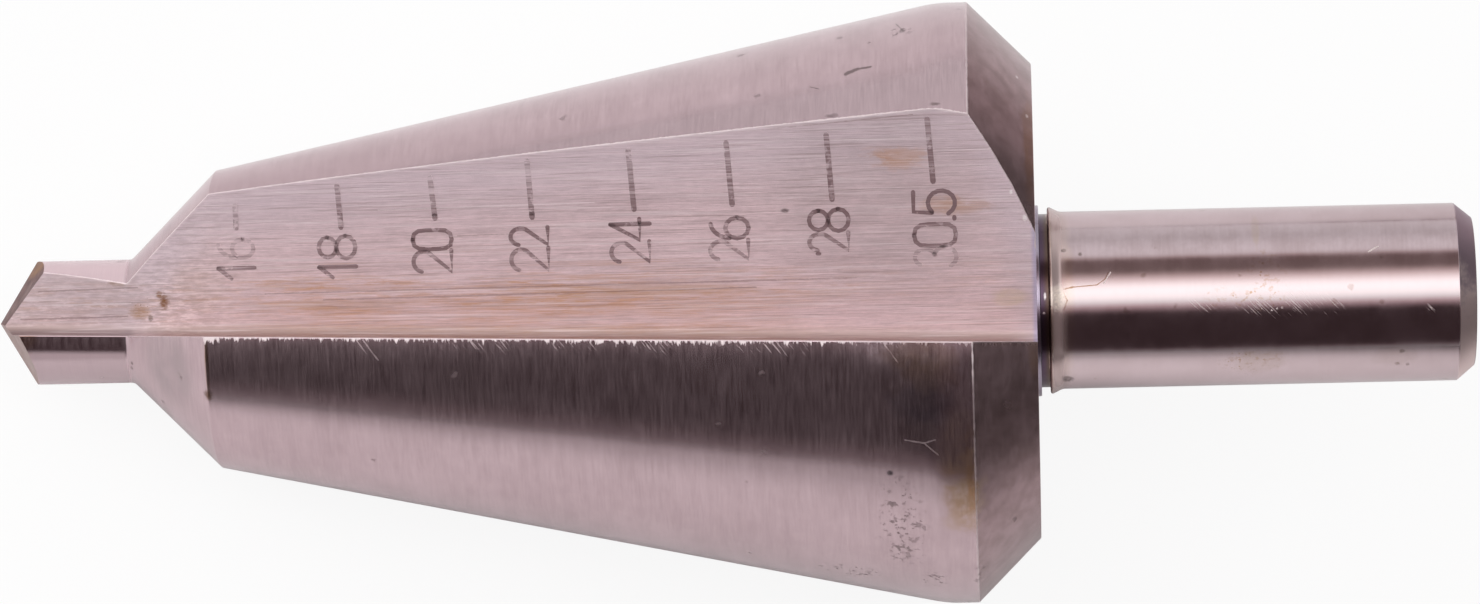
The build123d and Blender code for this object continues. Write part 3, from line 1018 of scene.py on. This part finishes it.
def layStroke(line, width, depths):
    # a thin closed ribbon along a line of (station, y) places on the flute floor, with round ends
    points = [Vector(p) for p in line]
    ends = ((0, 0.45), (0.25 * width, 0.85))
    first, last = (points[1] - points[0]).normalized(), (points[-1] - points[-2]).normalized()
    run = [(points[0] + first * (d - 0.5 * width), share) for d, share in ends]
    run += [(p, 1) for p in points]
    run += [(points[-1] - last * (d - 0.5 * width), share) for d, share in reversed(ends)]
    bpy.ops.mesh.primitive_grid_add(x_subdivisions=len(run) - 1, y_subdivisions=1, size=1)
    ribbon = bpy.context.object
    raised = Vector((-drill["floorRise"], -drill["floorRoll"], 1)).normalized() * scale["proud"]
    depth = ribbon.data.attributes.new("depth", "FLOAT", "POINT")
    vertices = ribbon.data.vertices
    order = sorted(range(len(vertices)), key=lambda i: tuple(vertices[i].co[:2]))
    for place, index in enumerate(order):
        step, side = divmod(place, 2)
        point, share = run[step]
        before, after = run[max(step - 1, 0)][0], run[min(step + 1, len(run) - 1)][0]
        across = tangent(after - before) * (width / 2 * share * (1 if side else -1))
        vertices[index].co = onFloor(*(point + across)) + raised
        t = step / (len(run) - 1)
        depth.data[index].value = depths[0] + (depths[1] - depths[0]) * t
    thicken = ribbon.modifiers.new("thickness", "SOLIDIFY")
    thicken.thickness = scale["thickness"]
    thicken.offset = 0
    bpy.ops.object.modifier_apply(modifier="thickness")
    return ribbon


def buildScale():
    clearSelection()
    tickSteps = 6
    ribbons = []
    for (top, bottom), texts, (upper, lower) in scale["numbers"]:
        for figure, start, end, depth in texts:
            for stroke in figures[figure]:
                line = [(bottom - y / 2 * (bottom - top), start + x * (end - start))
                        for x, y in stroke]
                ribbons.append(layStroke(line, scale["strokeWidth"], (depth, depth)))
        line = [Vector(upper[:2]).lerp(Vector(lower[:2]), i / tickSteps)
                for i in range(tickSteps + 1)]
        ribbons.append(layStroke(line, scale["tickWidth"], (upper[2], lower[2])))
    for station, y, depth in scale["dots"]:
        line = [(station, y), (station + scale["dotLength"], y)]
        ribbons.append(layStroke(line, scale["dotWidth"], (depth, depth)))
    clearSelection()
    for ribbon in ribbons:
        ribbon.select_set(True)
    bpy.context.view_layer.objects.active = ribbons[0]
    bpy.ops.object.join()
    marks = bpy.context.object
    marks.name = "etchedScale"
    setMode("EDIT")
    selectMesh()
    bpy.ops.mesh.normals_make_consistent(inside=False)
    setMode("OBJECT")
    return marks


marks = buildScale()
marks.data.materials.clear()
marks.data.materials.append(bpy.data.materials["fluteSteel"])
marks.data.transform(toFloor)
marks.data.update()
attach(marks, "root")
print("scale", len(marks.data.vertices), "vertices")

# Camera, floor and light
view = {
    "right": (0.98956, -0.01066, 0.1437), "upward": (-0.02942, 0.9613, 0.27392),
    "backward": (-0.14106, -0.27528, 0.95096), "place": (-49.398, -96.084, 344.788),
    "lens": 167.205, "sensor": 36, "nearest": 0.01,
}


def newObject(name, data):
    made = bpy.data.objects.new(name, data)
    bpy.context.scene.collection.objects.link(made)
    return made


right, upward, backward = (Vector(view[name]) for name in ("right", "upward", "backward"))
camera = newObject("camera", bpy.data.cameras.new("camera"))
turn = Matrix((right, upward, backward)).transposed().to_quaternion().to_matrix().to_4x4()
camera.matrix_world = Matrix.Translation(Vector(view["place"]) * mm) @ turn
camera.data.lens = view["lens"]
camera.data.sensor_width = view["sensor"]
camera.data.clip_start = view["nearest"]
bpy.context.scene.camera = camera

# The room that the metal mirrors. Turns go from straight back to the camera (0) upwards, and sides
# to the right of the picture, in degrees; a fade is given by its two ends.
studio = {
    "lightWalls": 1.06, "rightWall": 0.1, "rightWallSide": (22, 55),
    "farWall": 0.28, "farWallSide": (66, 84),
    "backWall": 0.79, "backTurn": (62, 90), "backTurnEnd": (118, 132), "backSide": (38, 52),
    # the unlit half of the room, low in front
    "darkSide": 0.048, "darkSideLeft": 0.026, "darkLevelSide": (-22, -10),
    "darkTint": (1.25, 0.86, 0.92), "darkTinted": (0.75, 1),
    "lowTurn": (-84, -77), "lowBlur": (25, 11), "lowSide": (-18, -8), "highTurn": -2,
    "darkLeft": -40, "darkRiseFrom": -22, "darkRise": 1.5, "darkBlur": 9,
    # a bright strip, and the gap in the wall behind it
    "stripTurn": (-20, 9), "stripTurnEnd": (11, 38), "stripLight": 2.05, "stripSide": (28, 64),
    "gapTurn": (1, 7), "gapTurnEnd": (50, 60), "gapSide": (15, 30), "gapLight": 0.205,
    "gapTint": (1.15, 0.85, 0.82),
    "keyPower": 3.6, "keyPlace": (-0.55, 0.35, 0.85), "keySize": 0.9,
}


def blend(share, below, above):
    return below + (above - below) * share


def window(name, turn, side):
    # a soft-edged part of the room between two turns, as wide to the left as to the right
    inside = ramp(turn, *studio[name + "Turn"]) * ramp(turn, *studio[name + "TurnEnd"], 1, 0)
    return inside * ramp(abs(side), *studio[name + "Side"], 1, 0)


def buildWorld():
    d = studio
    world = bpy.data.worlds.new("studio")
    bpy.context.scene.world = world
    world.use_nodes = True
    tree = world.node_tree
    tree.nodes.clear()
    output = tree.nodes.new("ShaderNodeOutputWorld")
    direction = Field(tree.nodes.new("ShaderNodeTexCoord").outputs["Generated"])
    fromCamera = Field(tree.nodes.new("ShaderNodeLightPath").outputs["Is Camera Ray"])
    toRight, toTop, toCamera = [calc("DOT_PRODUCT", direction, axis)
                                for axis in (right, upward, backward)]
    turnAngle = calc("DEGREES", calc("ARCTAN2", toTop, toCamera))
    sideAngle = calc("DEGREES", calc("ARCSINE", toRight))
    gap, strip, behind = [window(name, turnAngle, sideAngle) for name in ("gap", "strip", "back")]
    level = blend(ramp(sideAngle, *d["rightWallSide"]), d["lightWalls"], d["rightWall"])
    level = blend(ramp(sideAngle, *d["farWallSide"]), level, d["farWall"])
    level = blend(gap, level, d["gapLight"])
    level = blend(behind, level, d["backWall"])
    # the dark part's lower end rises and sharpens towards the left
    lowEdge = ramp(sideAngle, *d["lowSide"], *d["lowTurn"])
    lowEdge += highest(d["darkRiseFrom"] - sideAngle, 0) * d["darkRise"]
    wide = ramp(sideAngle, *d["lowSide"], *d["lowBlur"])
    dark = ramp(turnAngle - lowEdge, wide * -1, wide)
    high, blur, left = d["highTurn"], d["darkBlur"], d["darkLeft"]
    dark *= ramp(turnAngle, high - blur, high + blur, 1, 0)
    dark *= ramp(sideAngle, left - blur, left + blur)
    darkLevel = ramp(sideAngle, *d["darkLevelSide"], d["darkSideLeft"], d["darkSide"])
    level = blend(dark, level, darkLevel)
    level = blend(strip, level, d["stripLight"])
    level = blend(fromCamera, level, 1)
    mirrored = (1 - fromCamera) * (1 - strip)
    colour = mix(gap * mirrored, (1, 1, 1), d["gapTint"])
    colour = mix(ramp(dark, *d["darkTinted"]) * mirrored, colour, d["darkTint"])
    background = newNode("Background", {"Color": colour, "Strength": level})
    tree.links.new(background.outputs[0], output.inputs[0])


# The paper under the drill; what the metal mirrors of it is darker on three sides (metres)
paper = {
    "size": 4, "colour": (0.88, 0.88, 0.88), "roughness": 0.9,
    "rightFade": (0.024, 0.1), "rightColourFade": (-0.01, 0.04),
    "rightInFront": (0.12, 0.11, 0.11), "rightBehind": (0.45, 0.4, 0.4),
    "frontFade": (-0.035, -0.2), "frontShade": 0.33, "backFade": (0.05, 0.6), "backShade": 0.12,
    "glow": 0.9,                 # share of plain white in what the camera sees of it
}


def buildFloor():
    p = paper
    bpy.ops.mesh.primitive_plane_add(size=p["size"])
    floor = bpy.context.object
    floor.name = "floor"
    tree, shader = newMaterial("palePaper")
    x, y, z = split(Field(tree.nodes.new("ShaderNodeTexCoord").outputs["Object"]))
    rays = tree.nodes.new("ShaderNodeLightPath").outputs
    mirrored, fromCamera = Field(rays["Is Glossy Ray"]), Field(rays["Is Camera Ray"])
    atRight = mix(ramp(y, *p["rightColourFade"]), p["rightInFront"], p["rightBehind"])
    colour = mix(ramp(x, *p["rightFade"]) * mirrored, p["colour"], atRight)
    front = ramp(y, *p["frontFade"], 0, p["frontShade"])
    back = ramp(y, *p["backFade"], 0, p["backShade"])
    colour = mix(highest(front, back) * mirrored, colour, (0, 0, 0))
    feed(colour, shader.inputs["Base Color"])
    shader.inputs["Roughness"].default_value = p["roughness"]
    shader.inputs["Specular IOR Level"].default_value = 0
    white = Field(tree.nodes.new("ShaderNodeEmission").outputs[0])
    surface = {0: fromCamera * p["glow"], 1: Field(shader.outputs[0]), 2: white}
    joined = newNode("MixShader", surface)
    tree.links.new(joined.outputs[0], tree.nodes["Material Output"].inputs["Surface"])
    floor.data.materials.append(bpy.data.materials["palePaper"])
    return floor


buildWorld()
floor = buildFloor()
key = newObject("keyLight", bpy.data.lights.new("keyLight", "AREA"))
key.location = studio["keyPlace"]
key.rotation_euler = (-Vector(studio["keyPlace"])).to_track_quat("-Z", "Y").to_euler()
key.data.size = studio["keySize"]
key.data.energy = studio["keyPower"]
key.visible_glossy = False
floor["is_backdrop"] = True
bpy.context.scene.view_settings.view_transform = "Standard"
print("studio built")

low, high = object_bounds()
print("visual box", [round(v / mm, 3) for v in low], [round(v / mm, 3) for v in high])
